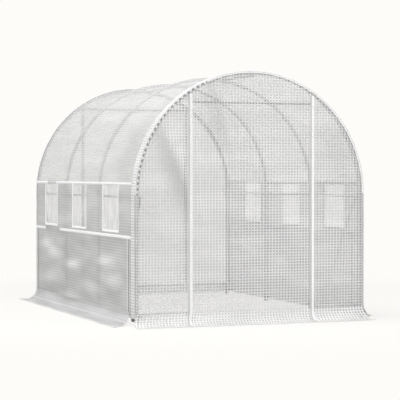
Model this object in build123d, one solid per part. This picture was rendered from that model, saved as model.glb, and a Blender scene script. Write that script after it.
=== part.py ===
"""Walk-in polytunnel greenhouse: a tubular steel frame under a sewn, grid-reinforced film cover.

Four hoops stand one bay apart and carry a ridge rail and a rail along each side. The film is laid over
them, closed at both ends, zipped beside the door and flared into a skirt that lies on the ground. Each side
has three screened windows between two lengths of webbing.

Millimetres. X runs across the tunnel, Y along it with the door end towards -Y, and Z up from the ground.
The origin is on the ground, under the middle of the ridge.
"""
import os
from math import sqrt

from build123d import *

# ---- Driving dimensions ----
TUNNEL_LENGTH = 3000.0      # over the outer faces of the two end panels
TUNNEL_WIDTH = 2000.0       # over the outer faces of the two side panels
LEG_HEIGHT = 1040.0         # ground to where the legs turn into the arch
BAYS = 3

HOOP_TUBE = 25.0            # diameter of the hoops
POST_TUBE = 25.0            # diameter of the door and back posts
RAIL_TUBE = 19.0            # diameter of the rails, lintels and ground bars
BRACE_TUBE = 16.0           # diameter of the corner braces

FILM = 2.0                  # thickness of the cover
FIT = 0.3                   # clearance between a piece and what it lies on, seats in or is cut round
SEAM_SPLIT = 1.0            # gap in the film under a zip

SKIRT_BEND = 100.0          # the skirt turns out from the wall with this radius
SKIRT_REACH = 182.0         # and lies on the ground as far as this from the wall
CORNER_FLAP = 176.0         # at the door end the sides hang straight for this length, with no skirt
CORNER_FLAP_FOOT = 60.0     # height of the flap's lower edge above the ground

EDGE_BAND_WIDTH = 24.0      # sewn band round each end, over the end panel
EDGE_BAND_THICKNESS = 3.0
FRONT_BAND_RETURN = 118.0   # how far the band folds back over the sides and roof, at the door end
BACK_BAND_RETURN = 24.0     # and at the back

DOOR_WIDTH = 1070.0         # between the centre lines of the two zips, and of the posts behind them
ZIP_WIDTH = 22.0
ZIP_THICKNESS = 3.0
FRONT_LINTEL_DROP = 85.0    # the door lintel's axis below the arch where it meets the posts
BACK_LINTEL_DROP = 30.0

UPPER_WEBBING_RISE = 90.0   # middle of the upper webbing above the top of the legs
UPPER_WEBBING_WIDTH = 16.0
LOWER_WEBBING_WIDTH = 24.0
WEBBING_THICKNESS = 2.0
WEBBING_TO_BAND = 2.0       # film between the ends of the webbing and the edge bands
UPPER_WEBBING_BREAK = (-150.0, 150.0)  # each webbing stops for this stretch, from the back window's middle
LOWER_WEBBING_BREAK = (-290.0, 200.0)

WINDOW_WIDTH = 385.0
WINDOW_HEIGHT = 367.0
WINDOW_HEADING = 10.0       # film between the upper webbing and the window
WINDOW_SPACING = 900.0
WINDOW_SHIFT = 60.0         # the left side's windows lie this far towards the back, the right side's towards the front
WINDOWS_PER_SIDE = 3
TAPE_WIDTH = 18.0           # tape round the sides and the bottom of each window
TAPE_THICKNESS = 2.0
TAPE_TO_WEBBING = 15.0      # film between a window's tape and the lower webbing

GROUND_RAIL_HEIGHT = 74.0   # axis of the rails along the foot of the sides
SIDE_RAIL_DROP = 20.0       # axis of the side rails below the top of the legs
BRACE_REACH = 690.0         # from a corner leg to where its brace lands on the ground rail

FOOT_WIDTH = 31.0           # diameter of a foot's sleeve, and width of the toe of a leg's foot
FOOT_HEIGHT = 58.0
FOOT_SOLE = 4.0
TOE_LENGTH = 130.0          # along the side, sleeve included
TOE_CLEARANCE = 36.0        # from the ground to the underside of a toe
CLAMP_LENGTH = 22.0         # along the rail
CLAMP_WALL = 3.0            # round the rail
CLAMP_REACH = 13.0          # half the clamp's height

# ---- Sizes that follow ----
HALF_LENGTH = TUNNEL_LENGTH / 2
OUTER = TUNNEL_WIDTH / 2
HOOP_RADIUS = OUTER - FILM - FIT - HOOP_TUBE / 2
END_HOOP_Y = HALF_LENGTH - FILM - FIT - HOOP_TUBE / 2
POST_Y = HALF_LENGTH - FILM - FIT - POST_TUBE / 2
RAIL_RADIUS = HOOP_RADIUS - HOOP_TUBE / 2 - FIT - RAIL_TUBE / 2
BRACE_X = RAIL_RADIUS - RAIL_TUBE / 2 - FIT - BRACE_TUBE / 2
RAIL_HALF_LENGTH = END_HOOP_Y + HOOP_TUBE / 2
END_BAR_HEIGHT = GROUND_RAIL_HEIGHT + CLAMP_REACH + FIT + RAIL_TUBE / 2
SKIRT_TOP = SKIRT_BEND + FILM
FLAP_Y = CORNER_FLAP - HALF_LENGTH
BAY = 2 * END_HOOP_Y / BAYS
DOOR_HALF = DOOR_WIDTH / 2
POST_TOP = LEG_HEIGHT + sqrt(HOOP_RADIUS**2 - DOOR_HALF**2)
SIDE_RAIL_HEIGHT = LEG_HEIGHT - SIDE_RAIL_DROP
UPPER_WEBBING_HEIGHT = LEG_HEIGHT + UPPER_WEBBING_RISE
WINDOW_TOP = UPPER_WEBBING_HEIGHT - UPPER_WEBBING_WIDTH / 2 - WINDOW_HEADING
WINDOW_BOTTOM = WINDOW_TOP - WINDOW_HEIGHT
LOWER_WEBBING_HEIGHT = WINDOW_BOTTOM - TAPE_WIDTH - TAPE_TO_WEBBING - LOWER_WEBBING_WIDTH / 2
BAND_INNER = OUTER - EDGE_BAND_WIDTH
BIG = 2 * (TUNNEL_LENGTH + TUNNEL_WIDTH + LEG_HEIGHT)

SIDES = {"left": -1, "right": 1}
ENDS = {"front": -1, "back": 1}
HOOP_NAMES = ["front", "second", "third", "back"]
LINTEL_DROPS = {-1: FRONT_LINTEL_DROP, 1: BACK_LINTEL_DROP}
BAND_RETURNS = {-1: FRONT_BAND_RETURN, 1: BACK_BAND_RETURN}


# ---- Shapes used more than once ----
def rod(start, end, diameter):
    """A round bar between two points."""
    run = Vector(*end) - Vector(*start)
    return extrude(Plane(origin=start, z_dir=run) * Circle(diameter / 2), run.length)


def block(x, y, z):
    """A box between the low and high value of each axis."""
    box = Box(x[1] - x[0], y[1] - y[0], z[1] - z[0])
    return Pos((x[0] + x[1]) / 2, (y[0] + y[1]) / 2, (z[0] + z[1]) / 2) * box


def hoop(y, radius, diameter, bottom):
    """A bar bent into two straight legs and a half round over them."""
    path = (
        Line((-radius, y, bottom), (-radius, y, LEG_HEIGHT))
        + ThreePointArc((-radius, y, LEG_HEIGHT), (0, y, LEG_HEIGHT + radius), (radius, y, LEG_HEIGHT))
        + Line((radius, y, LEG_HEIGHT), (radius, y, bottom))
    )
    section = Plane(origin=(-radius, y, bottom), z_dir=(0, 0, 1)) * Circle(diameter / 2)
    return sweep(section, path=path)


def end_shape(radius, bottom, y, depth):
    """A flat sheet in the tunnel's end shape, from y onwards by depth."""
    legs = Pos(0, (bottom + LEG_HEIGHT) / 2) * Rectangle(2 * radius, LEG_HEIGHT - bottom)
    arch = Pos(0, LEG_HEIGHT) * Circle(radius)
    upper = Pos(0, LEG_HEIGHT + radius / 2) * Rectangle(2 * radius, radius)
    outline = legs + (arch & upper)
    return extrude(Plane(origin=(0, y, 0), x_dir=(1, 0, 0), z_dir=(0, -1, 0)) * outline, -depth)


def arch_shell(inner, outer, bottom, y_low, y_high):
    """A sheet bent over the hoops: straight at the sides and half round on top."""
    whole = end_shape(outer, bottom, y_low, y_high - y_low)
    return whole - end_shape(inner, bottom - 1, y_low - 1, y_high - y_low + 2)


def side_half(sign):
    return block(sorted((0, sign * BIG)), (-BIG, BIG), (-BIG, BIG))


def above(z):
    return block((-BIG, BIG), (-BIG, BIG), (z, BIG))


def below(z):
    return block((-BIG, BIG), (-BIG, BIG), (-BIG, z))


def flare(weather, thickness, length):
    """A sheet that leaves a wall at x = 0 upright and curves out along +X to lie on the ground.

    weather is the radius of its upper face where it bends. Its length lies along Y, centred.
    """
    centre = SKIRT_BEND
    ring = Circle(weather + thickness) - Circle(weather)
    corner = Pos(-centre, -centre) * Rectangle(2 * centre, 2 * centre)
    run = SKIRT_REACH - centre
    flat = Pos(run / 2, -weather - thickness / 2) * Rectangle(run, thickness)
    profile = Pos(centre, SKIRT_TOP) * ((ring & corner) + flat)
    return extrude(Plane(origin=(0, length / 2, 0), x_dir=(1, 0, 0), z_dir=(0, -1, 0)) * profile, length)


def turned(shape, direction, x, y):
    """A flare that leads along +X, turned to lead towards direction in degrees and moved to x, y."""
    return Pos(x, y, 0) * Rot(0, 0, direction) * shape


# ---- Frame ----
def hoop_positions():
    return [-END_HOOP_Y + i * BAY for i in range(BAYS + 1)]


def hoop_bar(y, extra=0.0):
    return hoop(y, HOOP_RADIUS, HOOP_TUBE + 2 * extra, FOOT_SOLE - extra)


def rail(sign, height):
    x = sign * RAIL_RADIUS
    return rod((x, -RAIL_HALF_LENGTH, height), (x, RAIL_HALF_LENGTH, height), RAIL_TUBE)


def ridge_rail():
    z = LEG_HEIGHT + RAIL_RADIUS
    return rod((0, -RAIL_HALF_LENGTH, z), (0, RAIL_HALF_LENGTH, z), RAIL_TUBE)


def side_clamps(sign, height):
    """Saddles that hold a side rail to the inside of each hoop's leg."""
    inner = RAIL_RADIUS - RAIL_TUBE / 2 - CLAMP_WALL
    bore = rod((sign * RAIL_RADIUS, -BIG, height), (sign * RAIL_RADIUS, BIG, height), RAIL_TUBE + 2 * FIT)
    saddles = []
    for y in hoop_positions():
        body = block(
            sorted((sign * inner, sign * HOOP_RADIUS)),
            (y - CLAMP_LENGTH / 2, y + CLAMP_LENGTH / 2),
            (height - CLAMP_REACH, height + CLAMP_REACH),
        )
        saddles.append(body - hoop_bar(y, FIT) - bore)
    return saddles


def ridge_clamps():
    """Saddles that hold the ridge rail under the crown of each hoop."""
    axis = LEG_HEIGHT + RAIL_RADIUS
    low = axis - RAIL_TUBE / 2 - CLAMP_WALL
    bore = rod((0, -BIG, axis), (0, BIG, axis), RAIL_TUBE + 2 * FIT)
    saddles = []
    for y in hoop_positions():
        body = block(
            (-CLAMP_REACH, CLAMP_REACH),
            (y - CLAMP_LENGTH / 2, y + CLAMP_LENGTH / 2),
            (low, LEG_HEIGHT + HOOP_RADIUS),
        )
        saddles.append(body - hoop_bar(y, FIT) - bore)
    return saddles


def end_bar(end, x_low, x_high, height):
    return rod((x_low, end * END_HOOP_Y, height), (x_high, end * END_HOOP_Y, height), RAIL_TUBE)


def post_bar(end, sign, bottom, extra=0.0):
    x = sign * DOOR_HALF
    return rod((x, end * POST_Y, bottom), (x, end * POST_Y, POST_TOP), POST_TUBE + 2 * extra)


def end_post(end, sign):
    """A post cut to fit under the arch. The back ones stand on the ground bar, the door ones on feet."""
    post = post_bar(end, sign, FOOT_SOLE if end < 0 else END_BAR_HEIGHT)
    post = post - hoop_bar(end * END_HOOP_Y, FIT)
    if end > 0:
        post = post - rod(
            (-OUTER, END_HOOP_Y, END_BAR_HEIGHT), (OUTER, END_HOOP_Y, END_BAR_HEIGHT), RAIL_TUBE + 2 * FIT
        )
    return post.solids().sort_by(Axis.Z)[0]


def lintel(end):
    bar = end_bar(end, -DOOR_HALF, DOOR_HALF, POST_TOP - LINTEL_DROPS[end])
    for sign in SIDES.values():
        bar = bar - post_bar(end, sign, 0, FIT)
    return bar


def front_ground_bars():
    """Short bars from each front leg to its door post, with the doorway left free."""
    bars = []
    for sign in SIDES.values():
        ends = sorted((sign * HOOP_RADIUS, sign * DOOR_HALF))
        bar = end_bar(-1, ends[0], ends[1], END_BAR_HEIGHT)
        bars.append(bar - hoop_bar(-END_HOOP_Y, FIT) - post_bar(-1, sign, 0, FIT))
    return bars


def back_ground_bar():
    return end_bar(1, -HOOP_RADIUS, HOOP_RADIUS, END_BAR_HEIGHT) - hoop_bar(END_HOOP_Y, FIT)


def brace(end, sign):
    """A stay from the side rail, beside its corner clamp, down to the ground rail."""
    x = sign * BRACE_X
    clear_of_clamp = CLAMP_LENGTH / 2 + FIT + BRACE_TUBE / 2
    top = (x, end * (END_HOOP_Y - clear_of_clamp), SIDE_RAIL_HEIGHT)
    foot = (x, end * (END_HOOP_Y - BRACE_REACH), GROUND_RAIL_HEIGHT)
    return rod(top, foot, BRACE_TUBE)


def socket(x, y, tube):
    return rod((x, y, FOOT_SOLE - FIT), (x, y, FOOT_HEIGHT + 1), tube + 2 * FIT)


def leg_foot(x, y):
    """A sleeve with a blind socket for a leg, and a raised toe that runs inwards from an end leg."""
    furthest = END_HOOP_Y - (TOE_LENGTH - FOOT_WIDTH) / 2
    middle = max(-furthest, min(furthest, y))
    outline = SlotOverall(TOE_LENGTH, FOOT_WIDTH, rotation=90)
    toe = Pos(x, middle, TOE_CLEARANCE) * extrude(outline, FOOT_HEIGHT - TOE_CLEARANCE)
    return toe + rod((x, y, 0), (x, y, FOOT_HEIGHT), FOOT_WIDTH) - socket(x, y, HOOP_TUBE)


def leg_feet(sign):
    return [leg_foot(sign * HOOP_RADIUS, y) for y in hoop_positions()]


def door_post_feet():
    """Round plug-on feet with blind sockets for the door posts."""
    feet = []
    for sign in SIDES.values():
        x = sign * DOOR_HALF
        feet.append(rod((x, -POST_Y, 0), (x, -POST_Y, FOOT_HEIGHT), FOOT_WIDTH) - socket(x, -POST_Y, POST_TUBE))
    return feet


# ---- Cover ----
def cover_sheet():
    """The film over the hoops, down to the skirts and, beside the door end's corners, to the flaps' edge."""
    sheet = arch_shell(OUTER - FILM, OUTER, CORNER_FLAP_FOOT, -HALF_LENGTH, HALF_LENGTH)
    return sheet - block((-BIG, BIG), (FLAP_Y, BIG), (-BIG, SKIRT_TOP))


def window_centres(sign):
    """Both sides are one pattern turned round, so their windows are shifted opposite ways."""
    first = -WINDOW_SPACING * (WINDOWS_PER_SIDE - 1) / 2 - sign * WINDOW_SHIFT
    return [first + i * WINDOW_SPACING for i in range(WINDOWS_PER_SIDE)]


def window_block(y, grow=0.0):
    half = WINDOW_WIDTH / 2 + grow
    return block((-BIG, BIG), (y - half, y + half), (WINDOW_BOTTOM - grow, WINDOW_TOP + grow))


def side_cover(sign):
    panel = cover_sheet() & side_half(sign) & below(UPPER_WEBBING_HEIGHT)
    for y in window_centres(sign):
        panel = panel - window_block(y)
    return panel


def window_screens(sign):
    """Netting that fills each window, held a little clear of the film's cut edge."""
    sheet = cover_sheet() & side_half(sign)
    return [sheet & window_block(y, -FIT) for y in window_centres(sign)]


def sewn_layer(thickness):
    """A layer of tape over the whole cover, a little clear of it."""
    return arch_shell(OUTER + FIT, OUTER + FIT + thickness, SKIRT_TOP, -HALF_LENGTH, HALF_LENGTH)


def window_tapes(sign):
    """Tape down both sides and along the bottom of each window."""
    top = UPPER_WEBBING_HEIGHT - UPPER_WEBBING_WIDTH / 2 - FIT
    layer = sewn_layer(TAPE_THICKNESS) & side_half(sign) & below(top)
    tapes = []
    for y in window_centres(sign):
        half = WINDOW_WIDTH / 2
        edge = half + TAPE_WIDTH
        around = block((-BIG, BIG), (y - edge, y + edge), (WINDOW_BOTTOM - TAPE_WIDTH, top))
        inside = block((-BIG, BIG), (y - half, y + half), (WINDOW_BOTTOM, BIG))
        tapes.append((layer & around) - inside)
    return tapes


def webbing(sign, height, width, break_span):
    """A band sewn along the side, in two lengths either side of its break."""
    layer = sewn_layer(WEBBING_THICKNESS) & side_half(sign)
    layer = layer & block((-BIG, BIG), (-BIG, BIG), (height - width / 2, height + width / 2))
    back_window = window_centres(sign)[-1]
    front_run = (FRONT_BAND_RETURN + WEBBING_TO_BAND - HALF_LENGTH, back_window + break_span[0])
    back_run = (back_window + break_span[1], HALF_LENGTH - BACK_BAND_RETURN - WEBBING_TO_BAND)
    return [layer & block((-BIG, BIG), run, (-BIG, BIG)) for run in (front_run, back_run)]


def end_sheet(end):
    inner = HALF_LENGTH - FILM
    start = -HALF_LENGTH if end < 0 else inner
    return end_shape(OUTER - FILM - FIT, SKIRT_TOP, start, FILM)


def door_thirds():
    """The widths left of the door, of the door itself, and right of it."""
    gap = SEAM_SPLIT / 2
    return {
        "left": (-BIG, -DOOR_HALF - gap),
        "door": (-DOOR_HALF + gap, DOOR_HALF - gap),
        "right": (DOOR_HALF + gap, BIG),
    }


def third(shape, name):
    return shape & block(door_thirds()[name], (-BIG, BIG), (-BIG, BIG))


def side_skirt(sign):
    """The skirt along a side. Its door end slants out from the back of the corner flap."""
    skirt = turned(flare(SKIRT_BEND, FILM, TUNNEL_LENGTH), 0 if sign > 0 else 180, sign * OUTER, 0)
    slant = Pos(sign * OUTER, FLAP_Y, 0) * Rot(0, 0, -45 * sign) * Pos(0, -BIG / 2, 0) * Box(BIG, BIG, BIG)
    return skirt - slant


def end_skirt(end):
    width = 2 * (OUTER - FILM - FIT)
    return turned(flare(SKIRT_BEND, FILM, width), 90 * end, 0, end * HALF_LENGTH)


def front_skirts():
    whole = end_skirt(-1)
    return [third(whole, name) for name in door_thirds()]


def edge_band(end):
    """The doubled seam that joins an end panel to the sides and roof and folds back over them."""
    inner = OUTER + FIT
    outer = inner + EDGE_BAND_THICKNESS
    faces = sorted((end * (HALF_LENGTH + FIT), end * (HALF_LENGTH + FIT + EDGE_BAND_THICKNESS)))
    over_end = arch_shell(BAND_INNER, outer, SKIRT_TOP + FIT, faces[0], faces[1])
    run = sorted((end * (HALF_LENGTH - BAND_RETURNS[end]), end * (HALF_LENGTH + FIT + EDGE_BAND_THICKNESS)))
    foot = CORNER_FLAP_FOOT if end < 0 else SKIRT_TOP + FIT
    return over_end + arch_shell(inner, outer, foot, run[0], run[1])


def door_zip(sign):
    """A zip from under the edge band down the end panel and out over the skirt."""
    x = sign * DOOR_HALF
    outer_y = -HALF_LENGTH - FIT
    top = LEG_HEIGHT + sqrt((BAND_INNER - FIT) ** 2 - (DOOR_HALF + ZIP_WIDTH / 2) ** 2)
    strip = block(
        (x - ZIP_WIDTH / 2, x + ZIP_WIDTH / 2), (outer_y - ZIP_THICKNESS, outer_y), (SKIRT_TOP, top)
    )
    tail = flare(SKIRT_BEND - FIT - ZIP_THICKNESS, ZIP_THICKNESS, ZIP_WIDTH)
    return strip + turned(tail, -90, x, -HALF_LENGTH)


# ---- Sub-parts ----
def sub_parts():
    parts = {}
    for name, y in zip(HOOP_NAMES, hoop_positions()):
        parts[f"hoop_{name}"] = hoop_bar(y)
    parts["ridge_rail"] = ridge_rail()
    parts["ridge_clamps"] = ridge_clamps()
    parts["front_ground_bars"] = front_ground_bars()
    parts["back_ground_bar"] = back_ground_bar()
    parts["door_post_feet"] = door_post_feet()
    for side, sign in SIDES.items():
        parts[f"side_rail_{side}"] = rail(sign, SIDE_RAIL_HEIGHT)
        parts[f"ground_rail_{side}"] = rail(sign, GROUND_RAIL_HEIGHT)
        upper_clamps = side_clamps(sign, SIDE_RAIL_HEIGHT)
        parts[f"rail_clamps_{side}"] = upper_clamps + side_clamps(sign, GROUND_RAIL_HEIGHT)
        parts[f"leg_feet_{side}"] = leg_feet(sign)
        parts[f"side_cover_{side}"] = side_cover(sign)
        parts[f"window_screens_{side}"] = window_screens(sign)
        parts[f"window_tapes_{side}"] = window_tapes(sign)
        parts[f"upper_webbing_{side}"] = webbing(
            sign, UPPER_WEBBING_HEIGHT, UPPER_WEBBING_WIDTH, UPPER_WEBBING_BREAK
        )
        parts[f"lower_webbing_{side}"] = webbing(
            sign, LOWER_WEBBING_HEIGHT, LOWER_WEBBING_WIDTH, LOWER_WEBBING_BREAK
        )
        parts[f"side_skirt_{side}"] = side_skirt(sign)
        parts[f"door_zip_{side}"] = door_zip(sign)
        parts[f"front_panel_{side}"] = third(end_sheet(-1), side)
        for end_name, end in ENDS.items():
            parts[f"{end_name}_post_{side}"] = end_post(end, sign)
            parts[f"{end_name}_brace_{side}"] = brace(end, sign)
    for end_name, end in ENDS.items():
        parts[f"{end_name}_lintel"] = lintel(end)
        parts[f"{end_name}_edge_band"] = edge_band(end)
    parts["roof_cover"] = cover_sheet() & above(UPPER_WEBBING_HEIGHT)
    parts["door_panel"] = third(end_sheet(-1), "door")
    parts["back_panel"] = end_sheet(1)
    parts["front_skirt"] = front_skirts()
    parts["back_skirt"] = end_skirt(1)
    return parts


def write_part(name, shape):
    pieces = shape if isinstance(shape, list) else [shape]
    solids = [solid for piece in pieces for solid in piece.solids()]
    export_step(Compound(children=solids), f"parts/{name}.step")


os.makedirs("parts", exist_ok=True)
for part_name, part_shape in sub_parts().items():
    write_part(part_name, part_shape)
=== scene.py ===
"""Looks of a walk-in polytunnel: a sewn, grid-reinforced film cover over a frame of galvanised tube.

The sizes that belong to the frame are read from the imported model. Each film panel is a thin sheet that sags
between the hoops, and trims such as webbing, tapes, zips and hems lie on those sheets. Metres, Z up.
"""
import math

import bpy
from mathutils import Matrix, Vector, noise


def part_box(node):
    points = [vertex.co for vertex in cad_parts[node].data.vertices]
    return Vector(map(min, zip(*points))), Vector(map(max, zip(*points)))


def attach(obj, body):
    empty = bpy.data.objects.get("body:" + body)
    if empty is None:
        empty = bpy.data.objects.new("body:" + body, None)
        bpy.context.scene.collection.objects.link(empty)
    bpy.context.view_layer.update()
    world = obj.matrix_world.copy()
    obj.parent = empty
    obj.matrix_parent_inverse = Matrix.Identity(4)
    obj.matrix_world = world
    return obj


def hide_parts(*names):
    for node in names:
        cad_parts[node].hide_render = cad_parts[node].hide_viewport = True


bl_info = {
    "name": "Polytunnel greenhouse",
    "version": (1, 0, 0),
    "blender": (4, 5, 0),
    "location": "3D View > Sidebar > Polytunnel",
    "description": "Builds the film cover, netting, trims and finishes of a walk-in polytunnel",
    "category": "Object",
}

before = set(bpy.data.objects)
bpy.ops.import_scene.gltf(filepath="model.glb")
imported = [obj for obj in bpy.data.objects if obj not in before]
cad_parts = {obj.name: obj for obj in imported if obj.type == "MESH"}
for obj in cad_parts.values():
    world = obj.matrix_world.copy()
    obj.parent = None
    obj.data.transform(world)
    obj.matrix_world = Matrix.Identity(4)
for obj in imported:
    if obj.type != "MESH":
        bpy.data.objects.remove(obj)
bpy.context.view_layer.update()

# ---- Sizes read from the frame ----
OUTER = -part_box("side_cover_left")[0].x  # from the tunnel's axis to the outside of a side
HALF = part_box("side_cover_left")[1].y  # from the middle of the length to the outside of an end
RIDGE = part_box("roof_cover")[1].z
SPRING = RIDGE - OUTER  # the height where the legs turn into the arch
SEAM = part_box("roof_cover")[0].z
FLAP_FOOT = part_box("side_cover_left")[0].z  # the foot of a side where it has no skirt
SKIRT_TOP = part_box("side_skirt_left")[1].z
SKIRT_REACH = -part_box("side_skirt_left")[0].x - OUTER
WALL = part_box("back_panel")[1].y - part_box("back_panel")[0].y
MID = OUTER - WALL / 2  # the middle of the film's thickness, from the tunnel's axis
END_MID = HALF - WALL / 2
BEND = SKIRT_TOP - WALL  # the radius where a skirt turns out over the ground
GIRTH = 2 * SPRING + math.pi * MID  # from the ground over the ridge to the ground
HOOP_NODES = [f"hoop_{place}" for place in ("front", "second", "third", "back")]
HOOPS = [sum(c.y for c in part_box(node)) / 2 for node in HOOP_NODES]
DOOR_HALF = sum(c.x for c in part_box("front_post_right")) / 2
END_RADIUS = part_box("back_panel")[1].x
LINTELS = {-1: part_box("front_lintel"), 1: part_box("back_lintel")}
GROUND_BARS = {-1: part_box("front_ground_bars"), 1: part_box("back_ground_bar")}
FRONT_BAND_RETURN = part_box("front_edge_band")[1].y + HALF
BACK_BAND_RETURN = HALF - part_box("back_edge_band")[0].y
BAND_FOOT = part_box("front_edge_band")[0].z
ZIP_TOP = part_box("door_zip_left")[1].z
ZIP_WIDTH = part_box("door_zip_left")[1].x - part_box("door_zip_left")[0].x
SIDES = {"left": -1, "right": 1}
HALF_GAP = (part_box("front_panel_right")[0].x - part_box("door_panel")[1].x) / 2  # beside a zip's middle
DOOR_END_SPANS = {
    "left": (-END_RADIUS, -DOOR_HALF - HALF_GAP),
    "door": (HALF_GAP - DOOR_HALF, DOOR_HALF - HALF_GAP),
    "right": (DOOR_HALF + HALF_GAP, END_RADIUS),
}
BACK_SPAN = (-END_RADIUS, END_RADIUS)


def runs(node, axis):
    """The lows and highs along one axis of the separate lengths that a node holds."""
    values = sorted({round(v.co[axis], 4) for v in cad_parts[node].data.vertices})
    return list(zip(values[::2], values[1::2]))


WINDOWS = {side: runs(f"window_screens_{side}", 1) for side in SIDES}
WINDOW_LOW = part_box("window_screens_left")[0].z
WINDOW_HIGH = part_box("window_screens_left")[1].z
SKIRT_LENGTH = BEND * math.pi / 2 + SKIRT_REACH - BEND
SKIRT_JOINT = BEND * 0.9  # down the cloth to the seam that joins a skirt to its side

# ---- Sizes of the sewing ----
STEP = 0.03  # the most between the points of a broad sheet or a long strip
SIDE_STEP = 0.028  # the same for a side, which dents
END_SKIRT_STEP = 0.025
BAND_STEP = 0.02  # along the zips and across the edge bands
FINE_STEP = 0.015  # out over the ground along a hem, and up the netting
BEND_STEP = 0.012  # down a skirt and round its bend
CREASE_STEP = 0.009  # across the netting's creases
PANEL_ROWS, SKIRT_ROWS = 0.016, 0.01  # steps as a share of an end panel's height and a skirt's length
ON_FILM = WALL / 2 + 0.0009  # from the film's middle out to the middle of a tape sewn on it
ON_BAND = WALL / 2 + 0.0024  # the same for stitching on an edge band
ON_SKIRT = 0.0014  # the same for a hem on a skirt
NARROW = 0.0104  # the width of a narrow seam or edging
PANEL_HEM = 0.018
HEM_SHIFT = 0.016  # from the middle of a side panel's end seam to the middle of its hem
SEAM_FROM_FLAP, SEAM_FROM_BACK = 0.02, 0.07  # where a side panel's end seams run
EDGING_DROP = 0.006  # down from the webbing, and out from a zip, to the painted shadow line beside it
WEBBING_SWELL, TAPE_SWELL = 0.003, 0.002
HEM_SWELL, SEAM_SWELL = 0.0015, 0.001  # how far the middle of a hem stands above its edges
COVER_INSET = (0.012, 0.018)  # from the corner to its stitching on the cover: on a leg, and on the arch
END_INSET = (0.0062, 0.0105)  # the same on the end
DARK_STITCHING = 0.42  # how far short of the ridge the painted shade on the arch's stitching ends
BAND_FILM = 0.0012  # the doubled film of an edge band
BAND_CORNER = 0.045  # up from the foot of the door end's band, where it lies on the side only
NET_THREAD = 0.0006

# ---- Folds and dents of the slack film, and the light and shade painted on it ----
# Distances over which folds and dents grow to their full depth: where they start, and where they are full.
FROM_END = (0.2, 0.4)
FROM_PANEL_EDGE = (0.02, 0.2)
FROM_POST = (0.015, 0.09)
FROM_BAR = (0.012, 0.08)
FROM_SKIRT = 0.25  # up from the top of a skirt
WEBBING_LINE = (SEAM - 0.46, SEAM - 0.42)  # the heights between which the deep dents under the webbing end
CREASE_DEPTH = 0.0022
SKIRT_WAVE = 0.006  # how high the waves of a skirt stand on the ground
SKIRT_FLARE = 0.03  # how far the skirt at the door end spreads at its right
BEND_GROWTH = 0.35  # how much wider the right skirt's bend is at the front corner
# The soft folds of the door end: the low and the high end of each, (x, z), its width and its height.
# Shade is also painted along the first two.
DOOR_END_FOLDS = [
    ((-0.42, 0.8), (-0.78, 1.66), 0.085, 0.04),
    ((-0.22, 1.4), (-0.38, 2.08), 0.06, 0.02),
    ((0.42, 1.15), (0.33, 1.75), 0.08, 0.012),
    ((0.86, 0.35), (0.7, 1.3), 0.07, 0.014),
]
# The middles, (y, z), of the places where a side's slack foot is pushed out, and how far each reaches.
# Light is painted on the film at these places too.
SIDE_BULGES = [
    (0.87, 0.48), (0.25, 0.4), (0.9, 0.25), (-0.69, 0.47),
    (-1.0, 0.31), (-0.38, 0.22), (0.3, 0.08), (1.2, 0.55),
]
BULGE_REACH = (0.25, 0.048)
# The middle, (y, z), and the reach of the shade painted on the roof.
ROOF_SHADE = ((-1.15, 1.35), (0.3, 0.28))


# ---- What a user would change ----
def length_setting(name, description, default):
    """A size in metres that a user can change."""
    return bpy.props.FloatProperty(name=name, description=description, default=default, unit="LENGTH")


def colour_setting(name, description, default):
    """A colour that a user can change."""
    return bpy.props.FloatVectorProperty(
        name=name, description=description, default=default, size=3, subtype="COLOR"
    )


class TunnelSizes(bpy.types.PropertyGroup):
    """The sizes of the cover that the frame does not settle"""

    film: length_setting("Film", "Thickness of the film", 0.0008)
    grid: length_setting("Grid", "Spacing of the reinforcing bands up and round the film", 0.0231)
    grid_across: length_setting("Grid across", "Spacing of the reinforcing bands across the film", 0.0262)
    band_share: bpy.props.FloatProperty(
        name="Band share", description="Share of the spacing that a reinforcing band covers", default=0.46,
        subtype="FACTOR",
    )
    yarn: length_setting("Yarn", "Spacing of the yarns inside a reinforcing band", 0.0026)
    roof_sag: length_setting("Roof sag", "How far the roof hangs in between two hoops", 0.018)
    side_sag: length_setting("Side sag", "How far a side hangs in between two hoops", 0.004)
    dents: length_setting("Dents", "Depth of the soft dents in the sides", 0.02)
    folds: length_setting("Folds", "Height of the soft waves in the end panels", 0.007)
    band_width: length_setting("Edge band", "Width of the edge band over an end panel", 0.0125)
    flap: length_setting("Corner flap", "Length of a side beside the door end that has no skirt", 0.176)
    askew: length_setting("Askew", "Shift of the skirt at the door end, at its left corner", 0.045)
    hem: length_setting("Hem", "Width of a sewn hem", 0.016)
    tape: length_setting("Tape", "Thickness of tape and webbing", 0.0014)
    tooth: length_setting("Tooth", "Spacing of the zip's teeth", 0.005)


class TunnelColours(bpy.types.PropertyGroup):
    """The colours of the cover, the frame and the studio"""

    thread: colour_setting("Reinforcement", "The white bands in the film", (0.93, 0.93, 0.925))
    cell: colour_setting("Film", "The film between the bands", (0.56, 0.562, 0.566))
    tape: colour_setting("Tape", "Webbing, window tape and zips", (0.96, 0.96, 0.955))
    net: colour_setting("Netting", "The windows' netting", (0.96, 0.96, 0.96))
    steel: colour_setting("Steel", "Galvanised tube and clamps", (0.46, 0.465, 0.47))
    plastic: colour_setting("Feet", "Moulded feet", (0.018, 0.018, 0.019))
    studio: colour_setting("Studio", "Floor and backdrop", (0.99, 0.975, 0.95))


def sizes():
    return bpy.context.scene.tunnel_sizes


def colours():
    return bpy.context.scene.tunnel_colours


def clamp(value, low=0.0, high=1.0):
    return max(low, min(high, value))


def smooth(value, low, high):
    """0 below low, 1 above high, and an even turn between them."""
    x = clamp((value - low) / (high - low))
    return x * x * (3 - 2 * x)


def ripple(a, b, layer):
    """Smooth noise between -1 and 1. Each layer is a pattern of its own."""
    return noise.noise(Vector((a, b, layer)))


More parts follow.
